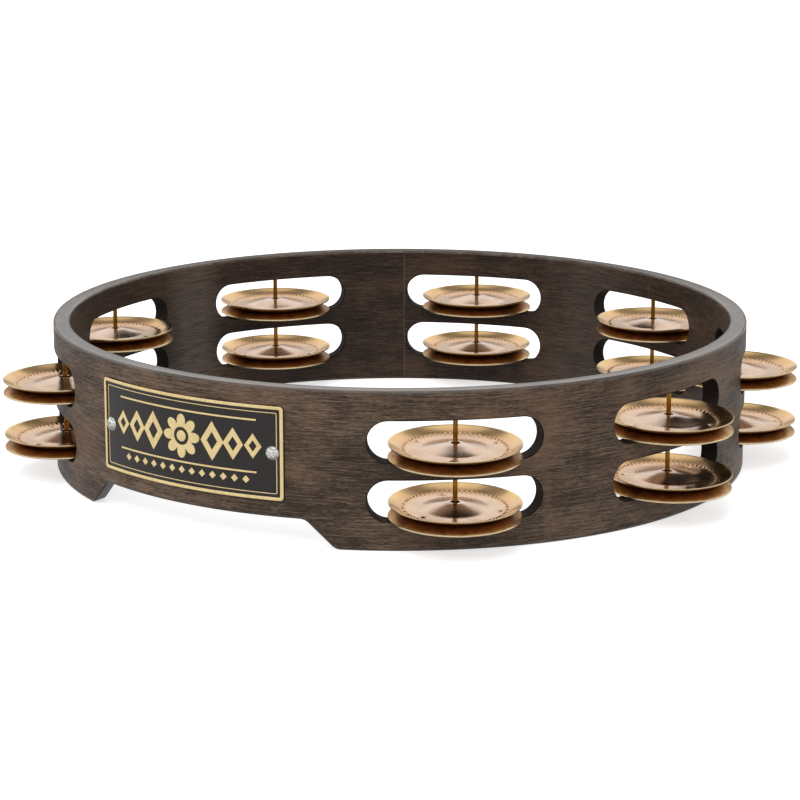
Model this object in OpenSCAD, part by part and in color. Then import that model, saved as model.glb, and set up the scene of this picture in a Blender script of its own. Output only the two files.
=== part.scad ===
// Double-row hand tambourine: a headless bent-wood hoop with eight columns of
// jingles, two pairs to a column, a grip cut-out and a screwed-on nameplate.
// Frame: origin on the hoop's axis at its lower edge, +Z up, and the nameplate
// faces -Y. Directions round the hoop are angles from +X, counter-clockwise.

/* [Hoop] */
// Outside diameter of the hoop
hoop_od = 254; // [240:1:280]
// Height of the hoop
hoop_h = 54; // [52:1:60]
// Thickness of the bent-wood wall
wall = 6.2; // [5:0.1:8]
// Rounding of the hoop's four long edges
edge_r = 0.9; // [0.4:0.1:1.5]

/* [Jingle slots] */
// Length of a slot along the wall
slot_l = 58; // [54:1:60]
// Height of a slot, which is also the diameter of its round ends
slot_h = 14; // [13:0.5:15]
// Wood left above the upper row and below the lower row of slots
margin = 10; // [10:0.5:11]
// Direction of the first column, to the right of the nameplate
first_column = -47.2; // [-50:0.1:-46]
// Angle between neighbouring columns
column_pitch = 39.2; // [38:0.1:39.5]

/* [Jingles] */
// Outside diameter of a jingle
jingle_d = 44.5; // [42:0.5:46]
// Thickness of the bronze sheet
sheet = 0.5; // [0.4:0.1:0.6]
// Diameter of the hole that the pin passes through
jingle_hole = 3; // [2.6:0.1:3.6]
// Height of the middle cone above the flat ring
cone_rise = 2.3; // [2:0.1:2.9]
// Height of the turned rim above the flat ring
rim_rise = 2.1; // [1.5:0.1:2.5]
// Radius at which the middle cone meets the flat ring
cone_foot = 11.5; // [10:0.5:13]
// Radius at which the flat ring turns up into the rim
rim_foot = 17.2; // [16:0.1:19]

/* [Jingle pins] */
// Diameter of a pin's wire
pin_d = 1.6; // [1.4:0.1:2]
// Diameter of a pin's flat head
pin_head_d = 3.2; // [2.8:0.1:3.6]

/* [Grip cut-out] */
// Length of the cut-out, half way up its slanted ends
grip_l = 93; // [85:1:95]
// Height of the cut-out
grip_h = 9.7; // [7:0.1:9.8]
// Rounding where the slanted ends meet the edges
grip_r = 4; // [2:0.5:5]
// Direction of the cut-out's middle
grip_at = -89.2; // [-91:0.1:-89]

/* [Nameplate] */
// Width of the plate, measured straight across
plate_w = 76.6; // [70:0.1:78]
// Height of the plate
plate_h = 31.9; // [28:0.1:34]
// Height of the plate's middle above the hoop's lower edge
plate_z = 31.6; // [30:0.1:32]
// Direction of the plate's middle
plate_at = -90.5; // [-91:0.1:-89]
// Thickness of the plate's field
plate_t = 0.5; // [0.4:0.1:0.8]
// Width of the plate's raised border
border_w = 1.1; // [0.8:0.1:1.3]
// Height of the raised border above the field
border_t = 0.4; // [0.2:0.1:0.5]

/* [Nameplate screws] */
// Distance of a screw from the plate's middle, measured straight across
screw_x = 34.4; // [32:0.1:34.5]
// Diameter of a screw's domed head
screw_head_d = 4.9; // [4:0.1:5]
// Height of a screw's domed head
screw_head_h = 1.5; // [1.2:0.1:2]
// Diameter of a screw's shank
screw_d = 2.4; // [2:0.1:2.8]

/* [Hidden] */
$fn = 96;
COLUMNS = 8;
ROWS = ["bottom", "top"];
HALVES = ["lower", "upper"];

hoop_r = hoop_od / 2;
pin_ring_r = hoop_r - wall / 2;
slot_floors = [margin, hoop_h - margin - slot_h];
jingle_r = jingle_d / 2;

// Angle from a slot's middle to the axis of each of its round ends
slot_turn = slot_l / 2 / pin_ring_r * 180 / PI - asin(slot_h / 2 / pin_ring_r);
// Height of one jingle
jingle_h = cone_rise + sheet;
// Air under the lower jingle, and between the two, when both are at rest
floor_gap = 0.4;
rest_gap = 0.1;

// Outline steps in the rim, and how strongly it curves
RIM_STEPS = 5;
rim_curve = 1.3;

pin_head_h = 0.8;
pin_head_sink = 0.3;
pin_blind = 3;
pin_head_play = 0.2;

plate_corner = 1.2;
field_corner = 0.4;
screw_l = 4.6;
screw_tip = 1.4;
recess_w = 0.55;
recess_l = 2.7;
recess_deep = 0.8;

GRIP_ARC_STEPS = 8;
// Extra reach of a cutting shape past the face that it cuts
cut = 1;

wood = "#4b4038";
bronze = "#a98a5b";
brass_wire = "#c9a24a";
black_enamel = "#1d1a1b";
steel = "#c9c6c4";

function column_at(c) = first_column + column_pitch * (c - 1);

// Angle that a straight-across distance from the middle covers at the outer wall
function wall_angle(x) = asin(x / hoop_r);

// Places its children on the wall: +X outwards, +Y along the wall, +Z up
module at_wall(angle, r, z) {
    rotate([0, 0, angle]) translate([r, 0, z]) children();
}

// A bar of rounded-rectangle section that runs along X, with Y as its width
module rounded_bar(length, w, h, r) {
    translate([-length / 2, -w / 2 + r, -h / 2]) cube([length, w - 2 * r, h]);
    if (h > 2 * r)
        translate([-length / 2, -w / 2, -h / 2 + r]) cube([length, w, h - 2 * r]);
    for (y = [-1, 1] * (w / 2 - r), z = [-1, 1] * (h / 2 - r))
        translate([-length / 2, y, z]) rotate([0, 90, 0]) cylinder(h = length, r = r);
}

// ---- hoop ----

module hoop_section() {
    translate([-wall / 2 + edge_r, 0]) square([wall - 2 * edge_r, hoop_h]);
    translate([-wall / 2, edge_r]) square([wall, hoop_h - 2 * edge_r]);
    for (x = [-1, 1] * (wall / 2 - edge_r), z = [edge_r, hoop_h - edge_r])
        translate([x, z]) circle(r = edge_r);
}

// One end of the grip cut-out: down a 45 degree slope with rounded corners
function grip_end() =
    let(
        lead = grip_r * tan(22.5),
        top = [grip_l / 2 - grip_h / 2 - lead, grip_h - grip_r],
        foot = [grip_l / 2 + grip_h / 2 + lead, grip_r],
        step = 45 / GRIP_ARC_STEPS
    )
    concat(
        [for (i = [0:GRIP_ARC_STEPS])
            top + grip_r * [cos(90 - i * step), sin(90 - i * step)]],
        [for (i = [0:GRIP_ARC_STEPS])
            foot + grip_r * [cos(225 + i * step), sin(225 + i * step)]],
        [foot - [0, grip_r + cut]]
    );

module grip_outline() {
    right = grip_end();
    left = [for (i = [len(right) - 1:-1:0]) [-right[i].x, right[i].y]];
    polygon(concat(left, right));
}

module grip_cutout() {
    at_wall(grip_at, pin_ring_r - 3 * wall, 0)
        rotate([90, 0, 90]) linear_extrude(height = 6 * wall) grip_outline();
}

// A slot as a round cutter makes it, which points at the hoop's axis while the hoop turns
module slot() {
    reach = 3 * wall;
    start = hoop_r - 2 * wall;
    rotate([0, 0, -slot_turn]) rotate_extrude(angle = 2 * slot_turn)
        translate([start, 0]) square([reach, slot_h]);
    for (side = [-1, 1])
        rotate([0, 0, side * slot_turn]) translate([start, 0, slot_h / 2])
            rotate([0, 90, 0]) cylinder(h = reach, d = slot_h);
}

module pin_hole() {
    translate([0, 0, -cut]) cylinder(h = hoop_h - pin_blind + cut, d = pin_d);
    translate([0, 0, -cut])
        cylinder(h = pin_head_sink + pin_head_h + cut, d = pin_head_d + pin_head_play);
}

module screw_hole() {
    rotate([0, -90, 0]) cylinder(h = screw_l, d = screw_d);
    rotate([0, 90, 0]) cylinder(h = cut + plate_t, d = screw_d);
}

module hoop() {
    color(wood) difference() {
        rotate_extrude() translate([pin_ring_r, 0]) hoop_section();
        for (c = [1:COLUMNS]) {
            for (floor = slot_floors) at_wall(column_at(c), 0, floor) slot();
            at_wall(column_at(c), pin_ring_r, 0) pin_hole();
        }
        for (side = [-1, 1])
            at_wall(plate_at + side * wall_angle(screw_x), hoop_r, plate_z) screw_hole();
        grip_cutout();
    }
}

// ---- jingles ----

function rim_height(r) =
    rim_rise * pow((r - rim_foot) / (jingle_r - rim_foot), rim_curve);

// The jingle's face that touches its partner, from the hole out to the rim
jingle_face = concat(
    [[jingle_hole / 2, cone_rise], [cone_foot, 0]],
    [for (i = [0:RIM_STEPS])
        let(r = rim_foot + i * (jingle_r - rim_foot) / RIM_STEPS)
        [r, rim_height(r)]]
);

// One jingle with its cone and rim upwards and its flat ring at z = 0
module jingle() {
    last = len(jingle_face) - 1;
    color(bronze) rotate_extrude() polygon(concat(
        jingle_face,
        [for (i = [last:-1:0]) jingle_face[i] + [0, sheet]]
    ));
}

module placed_jingle(c, row, half) {
    at_wall(column_at(c), pin_ring_r, slot_floors[row] + floor_gap + jingle_h)
        if (half == 0) mirror([0, 0, 1]) jingle();
        else translate([0, 0, rest_gap]) jingle();
}

// ---- pins ----

module jingle_pin(c) {
    color(brass_wire) at_wall(column_at(c), pin_ring_r, pin_head_sink) {
        cylinder(h = pin_head_h, d = pin_head_d);
        cylinder(h = hoop_h - pin_blind - pin_head_sink, d = pin_d);
    }
}

// ---- nameplate ----

// A sheet bent round the outer wall, cut to a rounded rectangle
module bent_sheet(t, w, h, corner) {
    intersection() {
        difference() {
            cylinder(h = hoop_h, r = hoop_r + t);
            translate([0, 0, -cut]) cylinder(h = hoop_h + 2 * cut, r = hoop_r);
        }
        at_wall(plate_at, hoop_r, plate_z) rounded_bar(4 * wall, w, h, corner);
    }
}

module nameplate() {
    color(black_enamel) difference() {
        union() {
            bent_sheet(plate_t, plate_w, plate_h, plate_corner);
            difference() {
                bent_sheet(plate_t + border_t, plate_w, plate_h, plate_corner);
                at_wall(plate_at, hoop_r, plate_z)
                    rounded_bar(
                        5 * wall, plate_w - 2 * border_w, plate_h - 2 * border_w, field_corner
                    );
            }
        }
        for (side = [-1, 1])
            at_wall(plate_at + side * wall_angle(screw_x), hoop_r, plate_z) screw_hole();
    }
}

// ---- screws ----

// A pan-head screw along Z, with the underside of its head at z = 0
module screw() {
    dome_r = (pow(screw_head_d / 2, 2) + pow(screw_head_h, 2)) / (2 * screw_head_h);
    shank_l = screw_l + plate_t - screw_tip;
    difference() {
        rotate_extrude() intersection() {
            translate([0, screw_head_h - dome_r]) circle(r = dome_r);
            square([screw_head_d / 2, screw_head_h]);
        }
        for (turn = [45, 135])
            rotate([0, 0, turn])
                translate([-recess_l / 2, -recess_w / 2, screw_head_h - recess_deep])
                    cube([recess_l, recess_w, recess_deep + cut]);
    }
    translate([0, 0, -shank_l]) cylinder(h = shank_l, d = screw_d);
    translate([0, 0, -shank_l - screw_tip]) cylinder(h = screw_tip, d1 = screw_d / 4, d2 = screw_d);
}

module nameplate_screw(side) {
    color(steel)
        at_wall(plate_at + side * wall_angle(screw_x), hoop_r + plate_t, plate_z)
            rotate([0, 90, 0]) screw();
}

// ---- assembly ----

hoop();
nameplate();
nameplate_screw(-1);  // nameplate_screw_left
nameplate_screw(1);  // nameplate_screw_right
for (c = [1:COLUMNS])
    jingle_pin(c);
for (c = [1:COLUMNS], row = [0, 1], half = [0, 1])
    placed_jingle(c, row, half);
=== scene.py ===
"""Looks of a double-row wooden tambourine: stained hoop, bronze jingles on brass pins, screwed nameplate.

Sizes are in millimetres unless a name says otherwise, and become metres where a mesh is made.
"""

import math

import bmesh
import bpy
import numpy as np
from mathutils import Matrix, Vector, noise
from mathutils.geometry import delaunay_2d_cdt


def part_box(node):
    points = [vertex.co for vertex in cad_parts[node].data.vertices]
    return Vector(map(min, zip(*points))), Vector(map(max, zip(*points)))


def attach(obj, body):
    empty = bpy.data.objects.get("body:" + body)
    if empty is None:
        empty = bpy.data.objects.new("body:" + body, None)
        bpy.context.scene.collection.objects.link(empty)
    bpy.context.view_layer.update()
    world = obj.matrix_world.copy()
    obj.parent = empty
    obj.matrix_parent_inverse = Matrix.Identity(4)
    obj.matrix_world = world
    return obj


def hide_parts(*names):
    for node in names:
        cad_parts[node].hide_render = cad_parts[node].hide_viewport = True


MM = 0.001

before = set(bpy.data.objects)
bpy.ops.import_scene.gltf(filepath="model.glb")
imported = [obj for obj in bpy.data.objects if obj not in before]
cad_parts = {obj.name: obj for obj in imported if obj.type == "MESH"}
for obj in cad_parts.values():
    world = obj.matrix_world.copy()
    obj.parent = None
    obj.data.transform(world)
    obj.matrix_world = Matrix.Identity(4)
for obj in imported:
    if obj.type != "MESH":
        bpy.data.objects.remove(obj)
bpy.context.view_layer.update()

# ---- sizes that come from the frame ----

HOOP_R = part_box("hoop")[1].x / MM
HOOP_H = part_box("hoop")[1].z / MM
COLUMNS = range(1, 9)
ROWS = ("bottom", "top")


def centre_of(node):
    low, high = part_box(node)
    return (low + high) / 2 / MM


def angle_of(node):
    """Direction of a node's centre round the hoop's axis, in radians from +X."""
    middle = centre_of(node)
    return math.atan2(middle.y, middle.x)


PIN_RING_R = centre_of("jingle_pin_1").xy.length
WALL = 2 * (HOOP_R - PIN_RING_R)
INNER_R = HOOP_R - WALL
PLATE_AT = angle_of("nameplate")
PLATE_Z = centre_of("nameplate").z
PLATE_W = (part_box("nameplate")[1].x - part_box("nameplate")[0].x) / MM
PLATE_H = (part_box("nameplate")[1].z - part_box("nameplate")[0].z) / MM

# ---- sizes that part.scad holds too ----

SLOT_L = 58.0
SLOT_H = 14.0
SLOT_FLOORS = {"bottom": 10.0, "top": 30.0}
RIM_ROUND = 0.9
GRIP_L = 93.0
GRIP_H = 9.7
GRIP_ROUND = 4.0
GRIP_AT = math.radians(-89.2)
PLATE_T = 0.5
BORDER_T = 0.4
BORDER_W = 1.1
PLATE_CORNER = 1.2
JINGLE_R = 22.25
JINGLE_HOLE_R = 1.5
SHEET = 0.5
CONE_RISE = 2.3
CONE_FOOT = 11.5
RIM_RISE = 2.1
RIM_FOOT = 17.2
RIM_CURVE = 1.3
HEAD_RECESS_R = 1.7
HEAD_RECESS_DEEP = 1.1

# ---- sizes of detail that only the looks have ----

SLOT_ROUND = 0.35
ROUND_STEPS = 4
# Direction of the scarf joint, where the hoop's UVs start and end. No slot crosses it
SEAM_AT = math.radians(123.7)
# The hoop's sheets are filled with a grid of points, which keeps this gap from every edge
GRID_ANGLE = math.radians(2)
GRID_Z = 3.0
GRID_GAP = 1.3
# Points on each side of the lower edge, as far as the grip cut-out's own, and round the upper edge
LOWER_POINTS = 100
UPPER_POINTS = 240
GRIP_CLEAR = math.radians(27)
SLOT_END_STEPS = 16
SLOT_SIDE_STEPS = 20
# Points closer than this are joined
HOOP_MERGE = 0.004
PLATE_MERGE = 0.002
# The hoop's materials
OUTER, CUT, INNER, RIM = range(4)


# ---------------------------------------------------------------- mesh helpers


def new_object(name, mesh):
    piece = bpy.data.objects.new(name, mesh)
    bpy.context.scene.collection.objects.link(piece)
    return piece


def bmesh_to_object(bm, name, materials):
    bmesh.ops.recalc_face_normals(bm, faces=bm.faces)
    for face in bm.faces:
        face.smooth = True
    mesh = bpy.data.meshes.new(name)
    bm.to_mesh(mesh)
    bm.free()
    for material in materials:
        mesh.materials.append(material)
    return new_object(name, mesh)


def apply_modifiers(piece):
    """Turns a piece's modifiers into plain mesh."""
    depsgraph = bpy.context.evaluated_depsgraph_get()
    mesh = bpy.data.meshes.new_from_object(piece.evaluated_get(depsgraph))
    piece.modifiers.clear()
    piece.data = mesh


def weigh_normals(piece):
    """Keeps broad faces flat in the shading, and lets only the narrow roundings curve."""
    modifier = piece.modifiers.new("normals", "WEIGHTED_NORMAL")
    modifier.weight = 100
    modifier.keep_sharp = True


def inside(polygon, points):
    """Which points lie inside a polygon, by counting the edges that a ray crosses."""
    x, y = points[:, 0], points[:, 1]
    odd = np.zeros(len(points), bool)
    ends = np.roll(polygon, -1, axis=0)
    for (x0, y0), (x1, y1) in zip(polygon, ends):
        if y0 == y1:
            continue
        crosses = (y0 > y) != (y1 > y)
        odd ^= crosses & (x < x0 + (y - y0) * (x1 - x0) / (y1 - y0))
    return odd


def fill(border, holes, grid, gap):
    """Triangles between a border and its holes, with grid points where they keep a gap from every edge."""
    loops = [border, *holes]
    edge_points = np.concatenate(loops)
    keep = inside(border, grid)
    for hole in holes:
        keep &= ~inside(hole, grid)
    grid = grid[keep]
    near = [((edge_points - point) ** 2).sum(1).min() < gap**2 for point in grid]
    grid = grid[~np.array(near, bool)]
    points = np.concatenate([edge_points, grid])
    edges = []
    start = 0
    for loop in loops:
        n = len(loop)
        edges += [(start + i, start + (i + 1) % n) for i in range(n)]
        start += n
    made = delaunay_2d_cdt([Vector(p) for p in points], edges, [], 0, 1e-6)
    corners = np.array([tuple(v) for v in made[0]])
    faces = np.array([f for f in made[2] if len(f) == 3])
    middles = corners[faces].mean(axis=1)
    good = inside(border, middles)
    for hole in holes:
        good &= ~inside(hole, middles)
    return corners, faces[good]


def on_wall(angle, z, r):
    return Vector((r * math.cos(angle), r * math.sin(angle), z)) * MM


def add_skirt(bm, rings, material=0):
    """Quads between closed rings of points."""
    rows = [[bm.verts.new(p) for p in ring] for ring in rings]
    n = len(rows[0])
    for low, high in zip(rows, rows[1:]):
        for i in range(n):
            j = (i + 1) % n
            face = bm.faces.new((low[i], low[j], high[j], high[i]))
            face.material_index = material


# A loop is an outline on the wall. Each of its rows holds a turn round the hoop from the loop's middle, a
# distance straight across from there, a height, and the direction into the material, along which a rounded
# edge steps in from the outline.


def loop_angles(loop, middle, r, inset):
    return middle + loop[:, 0] + np.arcsin((loop[:, 1] + inset * loop[:, 3]) / r)


def loop_heights(loop, inset):
    return loop[:, 2] + inset * loop[:, 4]


def arc_rows(cx, cz, r, start, end, steps, outward, turn=0):
    """Loop rows along an arc in degrees. outward is 1 where the material is outside the arc, or -1."""
    rows = []
    for i in range(steps + 1):
        a = math.radians(start + (end - start) * i / steps)
        x, z = math.cos(a), math.sin(a)
        rows.append((turn, cx + r * x, cz + r * z, outward * x, outward * z))
    return rows


def straight_rows(x0, x1, z, into, steps):
    """Loop rows between the ends of a level line, without the ends."""
    return [(0, x0 + (x1 - x0) * i / steps, z, 0, into) for i in range(1, steps)]


def slot_loop():
    """A slot as a round cutter makes it, which points at the hoop's axis while the hoop turns."""
    r = SLOT_H / 2
    turn = SLOT_L / 2 / PIN_RING_R - math.asin(r / PIN_RING_R)
    between = [turn * (1 - 2 * i / SLOT_SIDE_STEPS) for i in range(1, SLOT_SIDE_STEPS)]
    rows = arc_rows(0, 0, r, -90, 90, SLOT_END_STEPS, 1, turn)
    rows += [(t, 0, r, 0, 1) for t in between]
    rows += arc_rows(0, 0, r, 90, 270, SLOT_END_STEPS, 1, -turn)
    rows += [(-t, 0, -r, 0, -1) for t in between]
    return np.array(rows)


def grip_rows():
    """Loop rows of the grip cut-out, from the left foot to the right one."""
    lead = GRIP_ROUND * math.tan(math.radians(22.5))
    top_x = GRIP_L / 2 - GRIP_H / 2 - lead
    foot_x = GRIP_L / 2 + GRIP_H / 2 + lead
    right = arc_rows(top_x, GRIP_H - GRIP_ROUND, GRIP_ROUND, 90, 45, 8, 1)
    right += arc_rows(foot_x, GRIP_ROUND, GRIP_ROUND, 225, 270, 8, -1)
    left = [(0, -x, z, -nx, nz) for _, x, z, nx, nz in reversed(right)]
    return np.array(left + straight_rows(-top_x, top_x, GRIP_H, 1, 24) + right)


def rounded_stations(outer_r, inner_r, rounding, middle_steps):
    """(radius, inset) steps from a sheet on outer_r, over two rounded edges, to one on inner_r."""
    turns = [math.pi / 2 * k / ROUND_STEPS for k in range(ROUND_STEPS + 1)]
    outside = [(outer_r - rounding * (1 - math.cos(a)), rounding * (1 - math.sin(a))) for a in turns]
    inside_ = [(inner_r + rounding * (1 - math.cos(a)), rounding * (1 - math.sin(a))) for a in turns]
    span = outside[-1][0] - inside_[-1][0]
    middle = [(outside[-1][0] - span * k / middle_steps, 0) for k in range(1, middle_steps)]
    return outside + middle + inside_[::-1]


# ---------------------------------------------------------------- the hoop


def lower_edge(r, inset):
    """Angles and heights of the hoop's lower edge, once round from SEAM_AT."""
    grip = grip_rows()
    grip_angles = loop_angles(grip, GRIP_AT, r, inset)
    before = np.linspace(SEAM_AT - 2 * math.pi, GRIP_AT - GRIP_CLEAR, LOWER_POINTS)
    after = np.linspace(GRIP_AT + GRIP_CLEAR, SEAM_AT, LOWER_POINTS)[:-1]
    angles = np.concatenate([before, grip_angles, after])
    level = [np.full(len(side), inset) for side in (before, after)]
    return angles, np.concatenate([level[0], loop_heights(grip, inset), level[1]])


def upper_edge(r, inset):
    """Angles and heights of the hoop's upper edge, once round from SEAM_AT."""
    angles = SEAM_AT - 2 * math.pi + np.linspace(0, 2 * math.pi, UPPER_POINTS + 1)[:-1]
    return angles, np.full(UPPER_POINTS, HOOP_H - inset)


def hoop_sheet(bm, r, slots, material):
    """The hoop's outer or inner face, cut at SEAM_AT and laid flat to be filled."""
    seam_z = np.arange(RIM_ROUND, HOOP_H - RIM_ROUND, GRID_Z)[1:]

    def flat(angles, heights):
        return np.column_stack([(angles - SEAM_AT + 2 * math.pi) * r, heights])

    full_turn = 2 * math.pi * r
    low = flat(*lower_edge(r, RIM_ROUND))
    high = flat(*upper_edge(r, RIM_ROUND))
    border = np.concatenate([
        low,
        [(full_turn, low[0][1])],
        [(full_turn, z) for z in seam_z],
        [(full_turn, high[0][1])],
        high[::-1],
        [(0, z) for z in seam_z[::-1]],
    ])
    holes = []
    for middle, z in slots:
        loop = slot_loop()
        angles = loop_angles(loop, middle, r, SLOT_ROUND)
        angles = np.where(angles > SEAM_AT, angles - 2 * math.pi, angles)
        holes.append(flat(angles, loop_heights(loop, SLOT_ROUND) + z))
    across = np.arange(GRID_ANGLE, 2 * math.pi - GRID_ANGLE / 2, GRID_ANGLE) * r
    up = np.arange(RIM_ROUND + GRID_Z, HOOP_H - RIM_ROUND, GRID_Z)
    grid = np.array([(x, z) for x in across for z in up])
    points, faces = fill(border, holes, grid, GRID_GAP)
    verts = [bm.verts.new(on_wall(x / r + SEAM_AT, z, r)) for x, z in points]
    for face in faces:
        bm.faces.new([verts[i] for i in face]).material_index = material


def wrap_uv(bm):
    """UVs in metres: along the wall, and up. Over a rim, up turns into in from the outer face."""
    layer = bm.loops.layers.uv.new("wall")
    for face in bm.faces:
        middle = face.calc_center_median()
        face_angle = math.atan2(middle.y, middle.x)
        base = (face_angle - SEAM_AT) % (2 * math.pi)
        turned = 0 if face.material_index != RIM else math.copysign(1, middle.z - HOOP_H * MM / 2)
        for corner in face.loops:
            co = corner.vert.co
            step = math.atan2(co.y, co.x) - face_angle
            step = (step + math.pi) % (2 * math.pi) - math.pi
            deep = HOOP_R * MM - co.xy.length
            corner[layer].uv = ((base + step) * HOOP_R * MM, co.z + turned * deep)


def head_recesses():
    """Cutters for the eight pin heads in the lower edge."""
    bm = bmesh.new()
    for c in COLUMNS:
        place = centre_of(f"jingle_pin_{c}")
        made = bmesh.ops.create_cone(
            bm, cap_ends=True, segments=40, radius1=HEAD_RECESS_R * MM, radius2=HEAD_RECESS_R * MM,
            depth=2 * HEAD_RECESS_DEEP * MM,
        )
        bmesh.ops.translate(bm, verts=made["verts"], vec=Vector((place.x, place.y, 0)) * MM)
    return bmesh_to_object(bm, "head_recess_cutter", [])


def make_hoop(outer_wood, cut_wood, inner_wood_shaded, rim_wood):
    slots = [(angle_of(f"jingle_pin_{c}"), SLOT_FLOORS[row] + SLOT_H / 2) for c in COLUMNS for row in ROWS]
    bm = bmesh.new()
    hoop_sheet(bm, HOOP_R, slots, OUTER)
    hoop_sheet(bm, INNER_R, slots, INNER)
    rim = rounded_stations(HOOP_R, INNER_R, RIM_ROUND, 3)
    for edge in (lower_edge, upper_edge):
        rings = []
        for r, inset in rim:
            angles, heights = edge(r, inset)
            rings.append([on_wall(a, z, r) for a, z in zip(angles, heights)])
        add_skirt(bm, rings, RIM)
    cut = rounded_stations(HOOP_R, INNER_R, SLOT_ROUND, 3)
    loop = slot_loop()
    for middle, z in slots:
        rings = []
        for r, inset in cut:
            angles = loop_angles(loop, middle, r, inset)
            rings.append([on_wall(a, h + z, r) for a, h in zip(angles, loop_heights(loop, inset))])
        add_skirt(bm, rings, CUT)
    bmesh.ops.remove_doubles(bm, verts=bm.verts, dist=HOOP_MERGE * MM)
    wrap_uv(bm)
    hoop = bmesh_to_object(bm, "hoop_wood", [outer_wood, cut_wood, inner_wood_shaded, rim_wood])
    cutter = head_recesses()
    boolean = hoop.modifiers.new("recesses", "BOOLEAN")
    boolean.operation = "DIFFERENCE"
    boolean.solver = "EXACT"
    boolean.object = cutter
    apply_modifiers(hoop)
    bpy.data.objects.remove(cutter)
    weigh_normals(hoop)
    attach(hoop, "hoop")
    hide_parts("hoop")


# ---------------------------------------------------------------- jingles

# The jingles' materials
BRONZE, PATINA_SHADE, LIP = range(3)
JINGLE_SEGMENTS = 330
TICKS = 66
TICK_AT = 17.3
TICK_L = 2.3
TICK_DEEP = 0.27
DIMPLES = 3
DIMPLE_AT = 15.2
DIMPLE_R = 0.95
DIMPLE_DEEP = 0.38
# The power that narrows the ticks, how much their depth varies, and how fast it does so round a jingle
TICK_SHARP = 3
TICK_UNEVEN = 0.6
STRIKE_NOISE = 9
# Each variant's dimples are turned by this much more, in radians
DIMPLE_TURN = 0.05
# No mark goes deeper than this into the sheet
DEEPEST = 0.42
# The sheet's unevenness: height, wavelength, how far from the hole it comes in, and the variants' spacing
WAVE_DEEP = 0.04
WAVE_L = 7
WAVE_IN = 5
WAVE_SEED = 3.7
# Where the plain part of the flat ring ends and the struck part starts
PLAIN_TO = 14.0
STRUCK_FROM = 14.35
VARIANTS = 4
# The sheet's edges: points over each, their rounding, and the angles between which they turn
LIP_STEPS = 4
HOLE_STEPS = 3
LIP_ROUND = 0.2
HOLE_ROUND = 0.12
EDGE_TURN = (0.6, 2.54)
CONE_SLOPE = CONE_RISE / (CONE_FOOT - JINGLE_HOLE_R)
CONE_TOP_R = 3.5
CONE_TOP_BEND = 0.04
FOOT_BLEND = 0.7


def face_height(r):
    """Height of the jingle's inner face above its flat ring: part.scad's, with its corners eased."""
    if r < CONE_FOOT - FOOT_BLEND:
        return CONE_SLOPE * (CONE_FOOT - r) - CONE_TOP_BEND * max(0.0, CONE_TOP_R - r) ** 2
    if r < CONE_FOOT + FOOT_BLEND:
        return CONE_SLOPE / (4 * FOOT_BLEND) * (CONE_FOOT + FOOT_BLEND - r) ** 2
    if r > RIM_FOOT:
        return RIM_RISE * ((r - RIM_FOOT) / (JINGLE_R - RIM_FOOT)) ** RIM_CURVE
    return 0.0


def smooth_bump(x):
    """1 at x = 0, falling smoothly to 0 at x = 1 and beyond."""
    x = min(1.0, abs(x))
    return (1 - x * x) ** 2


def waves(r, a, seed):
    """A slight hand-made unevenness that both faces of the sheet share."""
    uneven = noise.noise(Vector((r * math.cos(a) / WAVE_L, r * math.sin(a) / WAVE_L, WAVE_SEED * seed)))
    return WAVE_DEEP * uneven * min(1.0, (r - JINGLE_HOLE_R) / WAVE_IN)


def marks(r, a, seed):
    """How deep the struck ticks and dimples are at a place. They show only on the outer face."""
    deep = 0.0
    radial = smooth_bump((r - TICK_AT) / (TICK_L / 2))
    if radial > 0:
        strike = noise.noise(Vector((math.cos(a) * STRIKE_NOISE, math.sin(a) * STRIKE_NOISE, seed)))
        around = (0.5 + 0.5 * math.cos(TICKS * a)) ** TICK_SHARP
        deep += TICK_DEEP * (1 + TICK_UNEVEN * strike) * radial * around
    for k in range(DIMPLES):
        turn = 2 * math.pi * k / DIMPLES + DIMPLE_TURN * seed
        x = r * math.cos(a) - DIMPLE_AT * math.cos(turn)
        y = r * math.sin(a) - DIMPLE_AT * math.sin(turn)
        deep += DIMPLE_DEEP * math.exp(-(x * x + y * y) / DIMPLE_R**2)
    return min(deep, DEEPEST)


def jingle_radii():
    """Radii of the rings of points, closest where the sheet is struck or turns."""
    cone = np.linspace(JINGLE_HOLE_R + HOLE_ROUND, CONE_FOOT - 1.0, 9)
    flat = np.linspace(CONE_FOOT - 0.5, PLAIN_TO, 5)
    struck = np.linspace(STRUCK_FROM, RIM_FOOT + 1.4, 18)
    rim = np.linspace(RIM_FOOT + 1.9, JINGLE_R - LIP_ROUND, 6)
    return np.concatenate([cone, flat, struck, rim])


def strip_material(j, last):
    """The material of the section's j-th strip, where last is the inner face's last point."""
    if j < last:
        return PATINA_SHADE
    return LIP if j <= last + LIP_STEPS else BRONZE


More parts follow.
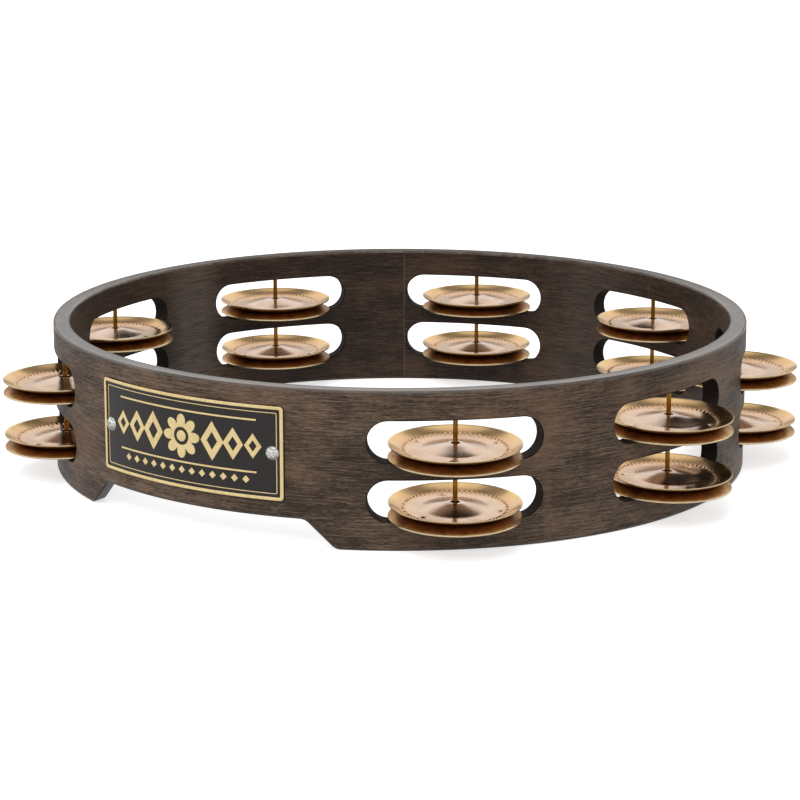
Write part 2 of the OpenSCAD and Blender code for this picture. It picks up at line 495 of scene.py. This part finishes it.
def jingle_mesh(seed, bronze, patina_shade, lip):
    """One jingle about its own pin: a section of the sheet, turned round, with its cone up."""
    radii = jingle_radii()
    half = SHEET / 2
    section = [(r, 0.0) for r in radii]
    for t in np.linspace(*EDGE_TURN, LIP_STEPS):
        section.append((JINGLE_R - LIP_ROUND + LIP_ROUND * math.sin(t), half - half * math.cos(t)))
    section += [(r, SHEET) for r in radii[::-1]]
    for t in np.linspace(*EDGE_TURN, HOLE_STEPS):
        section.append((JINGLE_HOLE_R + HOLE_ROUND - HOLE_ROUND * math.sin(t), half + half * math.cos(t)))
    bm = bmesh.new()
    uv = bm.loops.layers.uv.new("polar")
    last = len(radii) - 1
    columns = []
    for i in range(JINGLE_SEGMENTS):
        a = 2 * math.pi * i / JINGLE_SEGMENTS
        column = []
        for r, lift in section:
            z = face_height(r) + lift + waves(r, a, seed) - marks(r, a, seed) * lift / SHEET
            column.append(bm.verts.new(Vector((r * math.cos(a), r * math.sin(a), z)) * MM))
        columns.append(column)
    n = len(section)
    for i in range(JINGLE_SEGMENTS):
        near, far = columns[i], columns[(i + 1) % JINGLE_SEGMENTS]
        for j in range(n):
            k = (j + 1) % n
            face = bm.faces.new((near[j], far[j], far[k], near[k]))
            face.material_index = strip_material(j, last)
            across = (i / JINGLE_SEGMENTS, (i + 1) / JINGLE_SEGMENTS)
            out = (section[j][0] / JINGLE_R, section[k][0] / JINGLE_R)
            places = [(across[0], out[0]), (across[1], out[0]), (across[1], out[1]), (across[0], out[1])]
            for corner, place in zip(face.loops, places):
                corner[uv].uv = place
    bmesh.ops.recalc_face_normals(bm, faces=bm.faces)
    for face in bm.faces:
        face.smooth = True
    mesh = bpy.data.meshes.new(f"jingle_{seed}")
    bm.to_mesh(mesh)
    bm.free()
    for material in (bronze, patina_shade, lip):
        mesh.materials.append(material)
    return mesh


# How far each column's jingles lean outwards on their pins, in degrees
LEAN = {1: 1.7, 2: 1.6, 3: 0.5, 4: 0.4, 5: 0.2, 6: 0.3, 7: 0.6, 8: 1.2}
GOLDEN_TURN = math.radians(137.5)


def make_jingles(bronze, patina_shade, lip):
    meshes = [jingle_mesh(seed, bronze, patina_shade, lip) for seed in range(VARIANTS)]
    count = 0
    for c in COLUMNS:
        direction = angle_of(f"jingle_pin_{c}")
        for row in ROWS:
            lower, upper = (f"jingle_{c}_{row}_{half}" for half in ("lower", "upper"))
            contact = centre_of(upper) * MM
            contact.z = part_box(upper)[0].z
            tangent = Vector((-math.sin(direction), math.cos(direction), 0))
            lean = Matrix.Rotation(math.radians(LEAN[c]), 4, tangent)
            for node in (lower, upper):
                low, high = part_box(node)
                face_z = low.z if node == upper else high.z
                turn = Matrix.Rotation(GOLDEN_TURN * count, 4, "Z")
                flip = Matrix.Rotation(0 if node == upper else math.pi, 4, "X")
                place = Matrix.Translation((contact.x, contact.y, face_z))
                about = Matrix.Translation(contact)
                mesh = meshes[count % VARIANTS].copy()
                mesh.transform(about @ lean @ about.inverted() @ place @ flip @ turn)
                piece = new_object(f"{node}_bronze", mesh)
                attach(piece, node)
                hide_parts(node)
                count += 1


# ---------------------------------------------------------------- nameplate

PLATE_GRID_X = 2.0
PLATE_GRID_Z = 3.0
PLATE_GRID_GAP = 0.6
PLATE_ROUND_STEPS = 3
LEVEL_STEPS = 30
UPRIGHT_STEPS = 10
# Rounding of the front edges: the field's, the border's, and the thin gilding's
FIELD_ROUND = 0.15
BORDER_ROUND = 0.18
GILDING_ROUND = 0.03
BORDER_WINDOW_CORNER = 0.4
# The thin line inside the border
LINE_W = 0.28
LINE_GAP = 2.15
LINE_T = 0.10
LINE_CORNER = 0.7
LINE_WINDOW_CORNER = 0.45
# The ornament: its thickness, and the height of its band's middle above the plate's
PRINT_T = 0.12
BAND_Z = 1.9
PETALS = 8
PETAL_R = 7.6
PETAL_FOOT_R = 4.4
PETAL_HOLE_R = 3.1
EYE_R = 1.9
# The lozenges on each side of the rosette, from the middle outwards, as (width, height)
LOZENGES = ((9.0, 13.5), (7.6, 11.0), (6.2, 8.5))
LOZENGE_AT = 12.6
LOZENGE_PITCH = 8.3
LOZENGE_CLOSING = 0.35
LOZENGE_WINDOW = 0.46
# The rules above and below the band, as halves
RULE_AT = 8.9
RULE_X = 29
RULE_Z = 0.3
# The row of small lozenges
ROW_AT = 11.6
ROW_PITCH = 4.2
ROW_SIDE = 6
ROW_W = 2.6


def rounded_rectangle(w, h, corner, outward=-1, steps=6):
    """Loop rows of a rounded rectangle. outward is -1 for a plate's own edge and 1 for a window in it."""
    x, z = w / 2 - corner, h / 2 - corner
    rows = arc_rows(x, z, corner, 0, 90, steps, outward)
    rows += straight_rows(x, -x, h / 2, outward, LEVEL_STEPS)
    rows += arc_rows(-x, z, corner, 90, 180, steps, outward)
    rows += [(0, -w / 2, z - 2 * z * k / UPRIGHT_STEPS, -outward, 0) for k in range(1, UPRIGHT_STEPS)]
    rows += arc_rows(-x, -z, corner, 180, 270, steps, outward)
    rows += straight_rows(-x, x, -h / 2, -outward, LEVEL_STEPS)
    rows += arc_rows(x, -z, corner, 270, 360, steps, outward)
    rows += [(0, w / 2, -z + 2 * z * k / UPRIGHT_STEPS, outward, 0) for k in range(1, UPRIGHT_STEPS)]
    return np.array(rows)


def outline_rows(corners, outward=-1, step=1.5):
    """Loop rows of a polygon, given anticlockwise, with extra points along its longer sides."""
    points = []
    for start, end in zip(corners, corners[1:] + corners[:1]):
        pieces = max(1, math.ceil(math.dist(start, end) / step))
        points += [np.array(start) + (np.array(end) - np.array(start)) * k / pieces for k in range(pieces)]
    points = np.array(points, float)
    ahead = np.roll(points, -1, axis=0) - points
    behind = points - np.roll(points, 1, axis=0)
    normals = np.zeros_like(points)
    for side in (ahead, behind):
        length = np.hypot(side[:, 0], side[:, 1])[:, None]
        normals += np.column_stack([side[:, 1], -side[:, 0]]) / length
    normals /= np.hypot(normals[:, 0], normals[:, 1])[:, None]
    return np.column_stack([np.zeros(len(points)), points, outward * normals])


def bent_plate(bm, outer, windows, r_low, r_high, rounding):
    """A closed slab on the wall round the nameplate's middle, with its front edges rounded."""
    loops = [outer, *windows]

    def flat(loop, inset):
        return np.column_stack([loop[:, 1] + inset * loop[:, 3], loop_heights(loop, inset)])

    def place(x, z, r):
        return on_wall(PLATE_AT + math.asin(x / r), PLATE_Z + z, r)

    span = np.abs(outer[:, 1:3]).max(0)
    across = np.arange(-span[0], span[0], PLATE_GRID_X)
    up = np.arange(-span[1], span[1], PLATE_GRID_Z)
    grid = np.array([(x, z) for x in across for z in up])
    for r, inset in ((r_high, rounding), (r_low, 0)):
        holes = [flat(window, inset) for window in windows]
        points, faces = fill(flat(outer, inset), holes, grid, PLATE_GRID_GAP)
        verts = [bm.verts.new(place(x, z, r)) for x, z in points]
        for face in faces:
            bm.faces.new([verts[i] for i in face])
    turns = [math.pi / 2 * k / PLATE_ROUND_STEPS for k in range(PLATE_ROUND_STEPS + 1)]
    stations = [(r_high - rounding * (1 - math.cos(a)), rounding * (1 - math.sin(a))) for a in turns]
    stations.append((r_low, 0))
    for loop in loops:
        rings = [[place(x, z, r) for x, z in flat(loop, inset)] for r, inset in stations]
        add_skirt(bm, rings)


def lozenge(x, z, w, h):
    return [(x + w / 2, z), (x, z + h / 2), (x - w / 2, z), (x, z - h / 2)]


def rosette(x, z, r_out, r_in, petals, steps=8):
    points = []
    for k in range(petals * steps):
        a = 2 * math.pi * k / (petals * steps)
        r = r_in + (r_out - r_in) * abs(math.cos(petals * a / 2)) ** 0.7
        points.append((x + r * math.cos(a), z + r * math.sin(a)))
    return points


def circle(x, z, r, steps=36):
    turns = [2 * math.pi * k / steps for k in range(steps)]
    return [(x + r * math.cos(a), z + r * math.sin(a)) for a in turns]


FIELD_R = HOOP_R + PLATE_T


def finish_plate(bm, name, material):
    bmesh.ops.remove_doubles(bm, verts=bm.verts, dist=PLATE_MERGE * MM)
    return bmesh_to_object(bm, name, [material])


def plate_field(enamel):
    bm = bmesh.new()
    outer = rounded_rectangle(PLATE_W, PLATE_H, PLATE_CORNER)
    bent_plate(bm, outer, [], HOOP_R, FIELD_R, FIELD_ROUND)
    return finish_plate(bm, "nameplate_field", enamel)


def plate_border(gilt):
    """The raised border and the thin line inside it."""
    bm = bmesh.new()
    outer = rounded_rectangle(PLATE_W, PLATE_H, PLATE_CORNER)
    window = rounded_rectangle(PLATE_W - 2 * BORDER_W, PLATE_H - 2 * BORDER_W, BORDER_WINDOW_CORNER, 1)
    bent_plate(bm, outer, [window], FIELD_R, FIELD_R + BORDER_T, BORDER_ROUND)
    line = rounded_rectangle(PLATE_W - 2 * LINE_GAP, PLATE_H - 2 * LINE_GAP, LINE_CORNER)
    line_in = LINE_GAP + LINE_W
    line_window = rounded_rectangle(PLATE_W - 2 * line_in, PLATE_H - 2 * line_in, LINE_WINDOW_CORNER, 1)
    bent_plate(bm, line, [line_window], FIELD_R, FIELD_R + LINE_T, GILDING_ROUND)
    return finish_plate(bm, "nameplate_border", gilt)


def plate_ornament(gilt):
    """A rosette with lozenges on either side between two rules, and a row of small lozenges below."""
    bm = bmesh.new()

    def print_shape(points, hole=None):
        windows = [outline_rows(hole, 1)] if hole else []
        bent_plate(bm, outline_rows(points), windows, FIELD_R, FIELD_R + PRINT_T, GILDING_ROUND)

    print_shape(rosette(0, BAND_Z, PETAL_R, PETAL_FOOT_R, PETALS), circle(0, BAND_Z, PETAL_HOLE_R))
    print_shape(circle(0, BAND_Z, EYE_R))
    for side in (-1, 1):
        for k, (w, h) in enumerate(LOZENGES):
            x = side * (LOZENGE_AT + LOZENGE_PITCH * k - LOZENGE_CLOSING * k * k)
            window = lozenge(x, BAND_Z, LOZENGE_WINDOW * w, LOZENGE_WINDOW * h)
            print_shape(lozenge(x, BAND_Z, w, h), window)
    for z in (BAND_Z + RULE_AT, BAND_Z - RULE_AT):
        low, high = z - RULE_Z, z + RULE_Z
        print_shape([(RULE_X, low), (RULE_X, high), (-RULE_X, high), (-RULE_X, low)])
    for k in range(-ROW_SIDE, ROW_SIDE + 1):
        print_shape(lozenge(ROW_PITCH * k, BAND_Z - ROW_AT, ROW_W, ROW_W))
    return finish_plate(bm, "nameplate_ornament", gilt)


def make_nameplate(enamel, gilt, ornament_gilt):
    field = plate_field(enamel)
    for piece in (field, plate_border(gilt), plate_ornament(ornament_gilt)):
        weigh_normals(piece)
        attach(piece, "hoop")
    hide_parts("nameplate")


# ---------------------------------------------------------------- materials


def new_material(name):
    material = bpy.data.materials.new(name)
    material.use_nodes = True
    tree = material.node_tree
    tree.nodes.clear()
    output = tree.nodes.new("ShaderNodeOutputMaterial")
    shader = tree.nodes.new("ShaderNodeBsdfPrincipled")
    tree.links.new(shader.outputs[0], output.inputs[0])
    return material, tree, shader


class Nodes:
    """Short ways to add the node kinds that the materials share."""

    def __init__(self, tree):
        self.tree = tree

    def add(self, kind, **settings):
        node = self.tree.nodes.new(kind)
        for name, value in settings.items():
            setattr(node, name, value)
        return node

    def link(self, source, target):
        self.tree.links.new(source, target)

    def feed(self, socket, value):
        if isinstance(value, bpy.types.NodeSocket):
            self.link(value, socket)
        else:
            socket.default_value = value

    def math(self, operation, a, b=0.0):
        node = self.add("ShaderNodeMath", operation=operation)
        self.feed(node.inputs[0], a)
        self.feed(node.inputs[1], b)
        return node.outputs[0]

    def scaled(self, vector, scale, offset=(0, 0, 0)):
        node = self.add("ShaderNodeMapping")
        self.link(vector, node.inputs["Vector"])
        node.inputs["Scale"].default_value = scale
        node.inputs["Location"].default_value = offset
        return node.outputs[0]

    def noise(self, vector, detail=4.0, roughness=0.5, distortion=0.0):
        node = self.add("ShaderNodeTexNoise")
        self.link(vector, node.inputs["Vector"])
        node.inputs["Scale"].default_value = 1.0
        node.inputs["Detail"].default_value = detail
        node.inputs["Roughness"].default_value = roughness
        node.inputs["Distortion"].default_value = distortion
        return node.outputs["Fac"]

    def ramp(self, value, stops):
        node = self.add("ShaderNodeValToRGB")
        self.feed(node.inputs[0], value)
        elements = node.color_ramp.elements
        while len(elements) < len(stops):
            elements.new(0.5)
        for element, (position, colour) in zip(elements, stops):
            element.position = position
            element.color = (*colour, 1)
        return node.outputs[0]

    def span(self, value, low, high, out_low=0.0, out_high=1.0):
        node = self.add("ShaderNodeMapRange")
        self.feed(node.inputs["Value"], value)
        node.inputs["From Min"].default_value = low
        node.inputs["From Max"].default_value = high
        node.inputs["To Min"].default_value = out_low
        node.inputs["To Max"].default_value = out_high
        return node.outputs[0]

    def mix(self, factor, a, b):
        node = self.add("ShaderNodeMix", data_type="RGBA")
        self.feed(node.inputs[0], factor)
        for socket, value in ((node.inputs[6], a), (node.inputs[7], b)):
            self.feed(socket, (*value, 1) if isinstance(value, tuple) else value)
        return node.outputs[2]

    def bump(self, height, strength, distance):
        node = self.add("ShaderNodeBump")
        self.link(height, node.inputs["Height"])
        node.inputs["Strength"].default_value = strength
        node.inputs["Distance"].default_value = distance
        return node.outputs[0]


def wood_material(name, dark, light, lines, coat, coat_roughness, dull_at=None):
    """Maple veneer stained brown-black under thin lacquer.

    lines holds seams and streaks that run up the wall, and bands of painted sheen: (place along the wall,
    half width, tint, strength, and how far it wanders).
    dull_at is a place along the wall, if any, where the lacquer is worn thin.
    """
    material, tree, shader = new_material(name)
    n = Nodes(tree)
    uv = n.add("ShaderNodeUVMap", uv_map="wall").outputs[0]
    grain = n.noise(n.scaled(uv, (90, 1700, 1)), 6, 0.72, 0.15)
    fibre = n.noise(n.scaled(uv, (420, 4200, 1), (3, 7, 0)), 4, 0.75)
    band = n.noise(n.scaled(uv, (7, 110, 1), (5, 1, 0)), 3, 0.55)
    blotch = n.noise(n.scaled(uv, (24, 34, 1), (1, 9, 0)), 5, 0.62)
    fleck = n.noise(n.scaled(uv, (170, 1700, 1), (8, 3, 0)), 3, 0.6)
    tone = n.math("ADD", n.math("MULTIPLY", grain, 0.5), n.math("MULTIPLY", fibre, 0.42))
    tone = n.math("ADD", tone, n.math("MULTIPLY", band, 0.16))
    tone = n.math("ADD", tone, n.math("MULTIPLY", blotch, 0.20))
    middle = tuple((a * b) ** 0.5 for a, b in zip(dark, light))
    colour = n.ramp(tone, [(0.565, dark), (0.635, middle), (0.72, light)])
    red = n.span(blotch, 0.50, 0.68, 0.0, 0.45)
    colour = n.mix(red, colour, tuple(v * f for v, f in zip(light, (0.90, 0.74, 0.62))))
    pores = n.span(fleck, 0.60, 0.70, 0.0, 0.6)
    colour = n.mix(pores, colour, tuple(v * 0.6 for v in dark))
    split = n.add("ShaderNodeSeparateXYZ")
    n.link(uv, split.inputs[0])
    drift = n.math("MULTIPLY", n.math("SUBTRACT", n.noise(n.scaled(uv, (0, 45, 1))), 0.5), 0.009)
    wander = n.math("ADD", drift, n.math("MULTIPLY", n.noise(n.scaled(uv, (0, 400, 1))), 0.001))
    for place, width, tint, strength, roam in lines:
        along = n.math("ADD", split.outputs[0], n.math("MULTIPLY", wander, roam))
        away = n.math("ABSOLUTE", n.math("SUBTRACT", along, place))
        line = n.span(away, width * 0.3, width, 1.0, 0.0)
        broken = n.math("MULTIPLY", line, n.span(grain, 0.35, 0.6, 0.25 * strength, strength))
        colour = n.mix(broken, colour, tint)
    n.link(colour, shader.inputs["Base Color"])
    n.link(n.span(grain, 0.3, 0.7, 0.62, 0.48), shader.inputs["Roughness"])
    height = n.math("ADD", n.math("MULTIPLY", grain, 0.6), n.math("MULTIPLY", fibre, 0.4))
    height = n.math("SUBTRACT", height, n.math("MULTIPLY", pores, 0.3))
    n.link(n.bump(height, 0.5, 0.0002), shader.inputs["Normal"])
    shader.inputs["Specular IOR Level"].default_value = 0.25
    shader.inputs["Coat Weight"].default_value = coat
    shader.inputs["Coat Roughness"].default_value = coat_roughness
    if dull_at is not None:
        half_turn = n.math("MULTIPLY", n.math("SUBTRACT", split.outputs[0], dull_at), 0.5 / (HOOP_R * MM))
        away = n.math("ABSOLUTE", n.math("SINE", half_turn))
        n.link(n.span(away, 0.25, 0.65, 0.1, coat), shader.inputs["Coat Weight"])
    return material


def wall_place(degrees):
    """Where a direction from +X, in degrees, lies along the wall in the hoop's UVs."""
    return ((math.radians(degrees) - SEAM_AT) % (2 * math.pi)) * HOOP_R * MM


def cut_wood_material():
    """The slots' cut faces: end grain, which takes the stain darker, with tool marks."""
    material, tree, shader = new_material("stained_cut_edge")
    n = Nodes(tree)
    place = n.add("ShaderNodeTexCoord").outputs["Object"]
    marks = n.noise(n.scaled(place, (900, 900, 2400)), 5, 0.6)
    broad = n.noise(n.scaled(place, (120, 120, 300)), 3, 0.5)
    colour = n.ramp(n.math("ADD", n.math("MULTIPLY", marks, 0.6), n.math("MULTIPLY", broad, 0.4)), [
        (0.35, (0.006, 0.004, 0.003)),
        (0.65, (0.026, 0.017, 0.013)),
    ])
    n.link(colour, shader.inputs["Base Color"])
    n.link(n.span(marks, 0.3, 0.7, 0.72, 0.58), shader.inputs["Roughness"])
    n.link(n.bump(marks, 0.35, 0.0002), shader.inputs["Normal"])
    shader.inputs["Specular IOR Level"].default_value = 0.15
    return material


def bronze_material():
    """Polished bronze sheet with lathe lines, pinker in the middle and more golden at the rim."""
    material, tree, shader = new_material("jingle_bronze")
    n = Nodes(tree)
    polar = n.add("ShaderNodeUVMap", uv_map="polar").outputs[0]
    place = n.add("ShaderNodeTexCoord").outputs["Object"]
    split = n.add("ShaderNodeSeparateXYZ")
    n.link(polar, split.inputs[0])
    lathe = n.noise(n.scaled(polar, (1.5, 160, 1)), 4, 0.6)
    cloud = n.noise(n.scaled(place, (160, 160, 160)), 4, 0.55)
    speck = n.noise(n.scaled(place, (1400, 1400, 1400)), 2, 0.5)
    colour = n.ramp(split.outputs[1], [
        (0.10, (0.84, 0.64, 0.52)),
        (0.62, (0.83, 0.58, 0.40)),
        (0.84, (0.86, 0.53, 0.26)),
        (1.00, (0.96, 0.66, 0.30)),
    ])
    stain = n.span(cloud, 0.46, 0.72, 0.0, 0.3)
    colour = n.mix(stain, colour, (0.66, 0.42, 0.24))
    n.link(colour, shader.inputs["Base Color"])
    shader.inputs["Metallic"].default_value = 1.0
    rough = n.math("ADD", n.span(lathe, 0.3, 0.7, 0.15, 0.22), n.span(cloud, 0.4, 0.7, 0.0, 0.08))
    n.link(rough, shader.inputs["Roughness"])
    height = n.math("ADD", n.math("MULTIPLY", lathe, 0.7), n.math("MULTIPLY", speck, 0.3))
    n.link(n.bump(height, 0.12, 0.0001), shader.inputs["Normal"])
    return material


def patina_shade_material():
    """The jingles' touching faces, which stay unpolished: brown bronze, lighter towards the rim, and
    darkened towards the middle by painted shade for the narrow gap between the two jingles of a pair.
    """
    material, tree, shader = new_material("bronze_patina_shade")
    n = Nodes(tree)
    polar = n.add("ShaderNodeUVMap", uv_map="polar").outputs[0]
    place = n.add("ShaderNodeTexCoord").outputs["Object"]
    split = n.add("ShaderNodeSeparateXYZ")
    n.link(polar, split.inputs[0])
    cloud = n.noise(n.scaled(place, (300, 300, 300)), 4, 0.6)
    lathe = n.noise(n.scaled(polar, (1.5, 160, 1)), 4, 0.6)
    # Darkest in the middle as painted shade for the narrow gap between a pair's jingles; the brown is the
    # unpolished bronze
    colour = n.ramp(split.outputs[1], [
        (0.50, (0.12, 0.055, 0.020)),
        (0.80, (0.34, 0.165, 0.055)),
        (0.93, (0.62, 0.33, 0.12)),
        (1.00, (0.92, 0.58, 0.26)),
    ])
    colour = n.mix(n.span(cloud, 0.4, 0.7, 0.0, 0.5), colour, (0.10, 0.05, 0.02))
    n.link(colour, shader.inputs["Base Color"])
    shader.inputs["Metallic"].default_value = 1.0
    n.link(n.span(lathe, 0.3, 0.7, 0.32, 0.48), shader.inputs["Roughness"])
    n.link(n.bump(lathe, 0.12, 0.0001), shader.inputs["Normal"])
    return material


def brass_material(name, light, dark, low, high, metallic=1.0):
    """Brass whose colour varies in small clouds, and its roughness from low to high in drawn streaks."""
    material, tree, shader = new_material(name)
    n = Nodes(tree)
    place = n.add("ShaderNodeTexCoord").outputs["Object"]
    cloud = n.noise(n.scaled(place, (420, 420, 420)), 4, 0.6)
    streak = n.noise(n.scaled(place, (3000, 3000, 260), (2, 4, 6)), 3, 0.6)
    n.link(n.mix(n.span(cloud, 0.35, 0.68), light, dark), shader.inputs["Base Color"])
    shader.inputs["Metallic"].default_value = metallic
    n.link(n.span(streak, 0.3, 0.7, low, high), shader.inputs["Roughness"])
    n.link(n.bump(streak, 0.08, 0.0001), shader.inputs["Normal"])
    return material


def ornament_material(light, dark):
    """Worn gilt: flecks where the black enamel shows through."""
    material, tree, shader = new_material("worn_gilt")
    n = Nodes(tree)
    place = n.add("ShaderNodeTexCoord").outputs["Object"]
    cloud = n.noise(n.scaled(place, (420, 420, 420)), 4, 0.6)
    fleck = n.noise(n.scaled(place, (2600, 2600, 2600)), 3, 0.6)
    worn = n.span(fleck, 0.66, 0.72)
    gilt = n.mix(n.span(cloud, 0.35, 0.68), light, dark)
    n.link(n.mix(worn, gilt, (0.03, 0.022, 0.014)), shader.inputs["Base Color"])
    n.link(n.math("MULTIPLY", n.math("SUBTRACT", 1.0, worn), 0.25), shader.inputs["Metallic"])
    n.link(n.span(cloud, 0.3, 0.7, 0.26, 0.42), shader.inputs["Roughness"])
    return material


def enamel_material():
    """Black enamel with a slight orange-peel surface and dust-fine scratches."""
    material, tree, shader = new_material("black_enamel")
    n = Nodes(tree)
    place = n.add("ShaderNodeTexCoord").outputs["Object"]
    peel = n.noise(n.scaled(place, (700, 700, 700)), 2, 0.5)
    dust = n.noise(n.scaled(place, (5000, 5000, 1200)), 3, 0.7)
    colour = n.ramp(dust, [(0.45, (0.009, 0.007, 0.006)), (0.75, (0.024, 0.018, 0.015))])
    n.link(colour, shader.inputs["Base Color"])
    n.link(n.span(dust, 0.4, 0.7, 0.30, 0.42), shader.inputs["Roughness"])
    n.link(n.bump(peel, 0.1, 0.0002), shader.inputs["Normal"])
    shader.inputs["Coat Weight"].default_value = 0.2
    shader.inputs["Coat Roughness"].default_value = 0.12
    return material


def steel_material():
    """Nickel-plated screw steel with faint turning marks."""
    material, tree, shader = new_material("nickel_screw")
    n = Nodes(tree)
    place = n.add("ShaderNodeTexCoord").outputs["Object"]
    cloud = n.noise(n.scaled(place, (900, 900, 900)), 4, 0.6)
    colour = n.mix(n.span(cloud, 0.4, 0.7), (0.95, 0.94, 0.92), (0.80, 0.78, 0.76))
    n.link(colour, shader.inputs["Base Color"])
    shader.inputs["Metallic"].default_value = 0.85
    n.link(n.span(cloud, 0.3, 0.7, 0.20, 0.32), shader.inputs["Roughness"])
    n.link(n.bump(cloud, 0.1, 0.0001), shader.inputs["Normal"])
    return material


def repaint(node, material):
    """Gives a CAD node a new material in every slot."""
    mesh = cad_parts[node].data
    if not mesh.materials:
        mesh.materials.append(material)
    for i in range(len(mesh.materials)):
        mesh.materials[i] = material


# ---------------------------------------------------------------- studio

# The camera's direction, distance and height from the origin, its tilt in radians, and its focal length
CAMERA_AZIMUTH = math.radians(34.4)
CAMERA_AWAY = 985.5
CAMERA_UP = 260.7
CAMERA_PITCH = 0.2393
LENS = 122.77
# How far the floor lies below the hoop's lower edge, which would flicker on it if they were level
FLOOR_BELOW = 0.1
FLOOR_SIZE = 12
KEY_SPREAD = math.radians(50)
KEY_TILT = math.radians(35)
KEY_TURN = math.radians(10)


def make_camera():
    data = bpy.data.cameras.new("camera")
    data.sensor_width = 36
    data.lens = LENS
    data.clip_start = 0.01
    camera = new_object("camera", data)
    side = Vector((math.sin(CAMERA_AZIMUTH), -math.cos(CAMERA_AZIMUTH), 0))
    camera.location = (side * CAMERA_AWAY + Vector((0, 0, CAMERA_UP))) * MM
    camera.rotation_euler = (math.pi / 2 - CAMERA_PITCH, 0, CAMERA_AZIMUTH)
    bpy.context.scene.camera = camera


def make_floor():
    """A pale floor that glows a little, and that the object's reflections and bounce light don't see."""
    bm = bmesh.new()
    bmesh.ops.create_grid(bm, x_segments=1, y_segments=1, size=FLOOR_SIZE)
    material, tree, shader = new_material("pale_floor")
    shader.inputs["Base Color"].default_value = (0.75, 0.75, 0.75, 1)
    shader.inputs["Roughness"].default_value = 0.9
    shader.inputs["Specular IOR Level"].default_value = 0.0
    shader.inputs["Emission Color"].default_value = (1, 1, 1, 1)
    shader.inputs["Emission Strength"].default_value = 0.62
    floor = bmesh_to_object(bm, "floor", [material])
    floor.location.z = -FLOOR_BELOW * MM
    floor.visible_glossy = False
    floor.visible_diffuse = False


def make_world():
    """Level bands: a dark horizon, a white surround, a darker ceiling and a soft panel overhead.

    The bands below the horizon stand in for the light off the floor.
    """
    world = bpy.data.worlds.new("studio")
    bpy.context.scene.world = world
    world.use_nodes = True
    tree = world.node_tree
    n = Nodes(tree)
    background = tree.nodes["Background"]
    direction = n.add("ShaderNodeTexCoord").outputs["Generated"]
    split = n.add("ShaderNodeSeparateXYZ")
    n.link(direction, split.inputs[0])
    height = n.span(split.outputs[2], -1.0, 1.0)
    grey = [
        (-1.0, 0.22), (-0.45, 0.35), (-0.28, 0.75), (-0.10, 0.75), (-0.02, 0.35), (0.0, 0.22), (0.17, 0.30),
        (0.245, 0.95), (0.62, 0.95), (0.70, 0.21), (0.84, 0.17), (0.89, 0.85), (1.0, 1.0),
    ]
    light = n.ramp(height, [((z + 1) / 2, (v, v, v)) for z, v in grey])
    n.link(light, background.inputs["Color"])
    background.inputs["Strength"].default_value = 1.0


def make_lights():
    data = bpy.data.lights.new("key", "SUN")
    data.energy = 1.7
    data.angle = KEY_SPREAD
    key = new_object("key", data)
    key.rotation_euler = (KEY_TILT, 0, KEY_TURN)
    key.visible_glossy = False


# ---------------------------------------------------------------- build

make_camera()
make_world()
make_lights()
make_floor()

GOLD = (1.0, 0.79, 0.40)
OLD_GOLD = (0.90, 0.67, 0.31)
pin_brass = brass_material("pin_brass", (0.34, 0.17, 0.024), (0.20, 0.095, 0.012), 0.14, 0.26)
gilt = brass_material("gilt", GOLD, OLD_GOLD, 0.20, 0.30, 0.35)
nickel = steel_material()

RED_STREAK = (0.16, 0.090, 0.058)
SEAM_TINT = (0.13, 0.10, 0.080)
DARK_SEAM = (0.012, 0.008, 0.006)
# A pale tint for broad bands on the inner wall: painted sheen, a glossy highlight put into the wood's
# colour
PAINTED_SHEEN = (0.15, 0.118, 0.095)
# The scarf joint's line lies just inside the end of the UVs, and the rim's lacquer is thinnest near it
SCARF_LINE = wall_place(123.6)
RIM_DULL = wall_place(124)
outer_lines = [
    (wall_place(-33), 0.0022, RED_STREAK, 0.6, 1),
    (wall_place(-37.5), 0.0012, RED_STREAK, 0.6, 1),
    (wall_place(9), 0.0018, RED_STREAK, 0.6, 1),
    (wall_place(12), 0.0009, RED_STREAK, 0.5, 1),
    (SCARF_LINE, 0.0003, DARK_SEAM, 0.9, 0.02),
]
inner_lines = [
    # These two broad pale bands are painted sheen on the inner wall
    (wall_place(168), 0.016, PAINTED_SHEEN, 0.7, 1),
    (wall_place(84), 0.030, PAINTED_SHEEN, 0.3, 1),
    (wall_place(70), 0.0004, SEAM_TINT, 0.5, 0.5),
    (wall_place(196), 0.0005, SEAM_TINT, 0.5, 0.5),
    (SCARF_LINE, 0.0005, SEAM_TINT, 0.6, 0.02),
]
outer_wood = wood_material(
    "stained_maple", (0.026, 0.0165, 0.0108), (0.215, 0.142, 0.096), outer_lines, 0.16, 0.3
)
# The inner wall's wood is a darker copy of the outer's: painted shade for the light that the hoop keeps
# from its inside
inner_wood_shaded = wood_material(
    "stained_inner_shaded", (0.011, 0.006, 0.0038), (0.082, 0.048, 0.030), inner_lines, 0.14, 0.28
)
rim_wood = wood_material(
    "stained_rim", (0.040, 0.028, 0.020), (0.140, 0.108, 0.085), [], 1.0, 0.12, RIM_DULL
)
make_hoop(outer_wood, cut_wood_material(), inner_wood_shaded, rim_wood)
# The lip's paler brass is a painted highlight: the thin bright line along the jingles' rounded edge
lip_painted_highlight = brass_material("lip_painted_highlight", (1.0, 0.84, 0.56), (0.95, 0.72, 0.42), 0.18, 0.30)
make_jingles(bronze_material(), patina_shade_material(), lip_painted_highlight)
make_nameplate(enamel_material(), gilt, ornament_material(GOLD, OLD_GOLD))
for c in COLUMNS:
    repaint(f"jingle_pin_{c}", pin_brass)
for side in ("left", "right"):
    repaint(f"nameplate_screw_{side}", nickel)

bpy.context.scene.view_settings.view_transform = "Standard"
